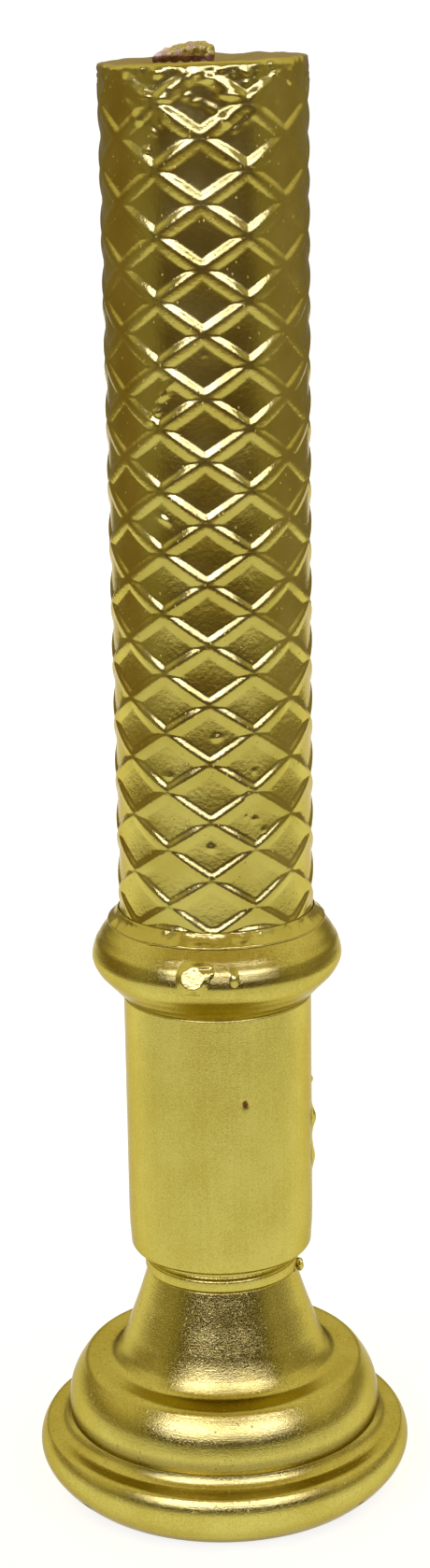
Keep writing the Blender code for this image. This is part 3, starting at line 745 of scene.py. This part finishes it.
def lamp(name, azimuth, width, height, radiance):
    """Soft rectangular lamp that faces the object."""
    data = bpy.data.lights.new(name, "AREA")
    data.shape, data.size, data.size_y = "RECTANGLE", width, height
    data.energy = radiance * math.pi * width * height
    data.color = LAMP_TINT
    made = bpy.data.objects.new(name, data)
    bpy.context.scene.collection.objects.link(made)
    a, e = math.radians(azimuth), math.radians(LAMP_ELEVATION)
    away = np.array([math.sin(a) * math.cos(e), -math.cos(a) * math.cos(e), math.sin(e)])
    made.location = np.array(LAMP_AIM) + away * LAMP_DISTANCE
    across = np.cross(-away, (0, 0, 1))
    across /= np.linalg.norm(across)
    up = np.cross(across, -away)
    made.rotation_euler = Matrix(np.stack([across, up, away], 1).tolist()).to_euler()
    made.visible_camera = False


def floor():
    """White sheet that glows, a little dimmer towards the front."""
    mesh = bpy.data.meshes.new("floor")
    mesh.from_pydata([(-FLOOR_SIDE, FLOOR_FRONT, 0), (FLOOR_SIDE, FLOOR_FRONT, 0),
                      (FLOOR_SIDE, FLOOR_BACK, 0), (-FLOOR_SIDE, FLOOR_BACK, 0)], [], [(0, 1, 2, 3)])
    made, graph, shader, place = material("floor_paper")
    x, y, _ = graph.axes(place)
    ahead = graph.plus(y, graph.times(graph.math("ABSOLUTE", x), -0.6))
    # painted light: the sheet glows, less towards the front, so it lights the gold and shows in its
    # reflections
    glow = graph.plus(graph.spread(ahead, -300.0, -20.0, 0.54, 0.80),
                      graph.spread(y, -20.0, 400.0, 0.0, 0.24))
    pale = graph.blend(graph.noise(place, 0.01, 2.0), PAPER, PAPER_PALE)
    feed(graph, shader, Base_Color=pale, Roughness=0.95, Specular_IOR_Level=0.0,
         Emission_Color=(1.0, 1.0, 1.0, 1), Emission_Strength=glow)
    mesh.materials.append(made)
    item = bpy.data.objects.new("floor", mesh)
    bpy.context.scene.collection.objects.link(item)


def camera():
    """Camera level with the candle's top, tilted down and shifted to frame the object."""
    data = bpy.data.cameras.new("camera")
    data.sensor_width, data.lens = 36.0, LENS
    data.shift_x, data.shift_y = SHIFT
    data.clip_start, data.clip_end = 0.01, 20.0
    data.dof.use_dof = False
    made = bpy.data.objects.new("camera", data)
    bpy.context.scene.collection.objects.link(made)
    made.matrix_world = (Matrix.Translation(CAMERA_PLACE)
                         @ Matrix.Rotation(math.radians(90.0 - CAMERA_DOWN), 4, "X")
                         @ Matrix.Rotation(CAMERA_ROLL, 4, "Z"))
    bpy.context.scene.camera = made


def finish_cad_nodes(steel, felt_cloth):
    """Materials for the CAD nodes that are shown as packed."""
    for name, finish, slot in (("base_felt", felt_cloth, "felt"), ("tie_rod", steel, "steel"),
                               ("foot_washer", steel, "steel"), ("foot_nut", steel, "steel")):
        node = frame["nodes"][name]
        node.data.materials.clear()
        node.data.materials.append(finish)


def build():
    """Materials, pieces, studio and camera."""
    bpy.context.scene.view_settings.view_transform = "Standard"
    foot_gold = gold_paint("gold_foot", lines=0.018, beads=0.13, worn_below=2.6,
                           # painted shade: darker bands at the groove under the bell and at the plinth's
                           # lower edge
                           painted_shade_bands=[(22.6, 3.0, 0.5), (2.6, 3.0, 0.45)],
                           chips=[(-50, 47.0, 6.6, (3.0, 3.0, 1.2)), (3, 43.5, 3.0, (1.6, 1.2, 0.8)),
                                  (48, 47.5, 7.0, (2.2, 2.2, 0.9)), (-64, 48.0, 8.0, (1.6, 2.0, 0.8))])
    ring_gold = gold_paint("gold_ring", lines=0.01)
    chip_turn, chip_z = BARREL_CHIP
    barrel_gold = gold_paint("gold_barrel", grain=0.008,
                             chips=[(chip_turn, BARREL_R, chip_z, (1.0, 1.6, 1.5))])
    collar_gold = gold_paint("gold_collar", lines=0.012)
    wax_gold = lacquer("gold_on_wax", 0.11, 0.05, dull_above=CANDLE_TOP - 0.9)
    run_gold = lacquer("gold_runs", 0.13, 0.08)
    brass = metal("brass", BRASS_DARK, BRASS_LIGHT, 0.22, 0.42, (0.03, 0.03, 1.0))
    steel = metal("steel", STEEL_DARK, STEEL_LIGHT, 0.25, 0.45, (0.05, 0.05, 1.0))
    foot(foot_gold, ring_gold)
    stem(barrel_gold, collar_gold, brass, steel)
    candle(wax_gold)
    wick(wick_cotton())
    pool(run_gold)
    drips(run_gold)
    finish_cad_nodes(steel, felt())
    world()
    for settings in LAMPS:
        lamp(*settings)
    floor()
    camera()


build()
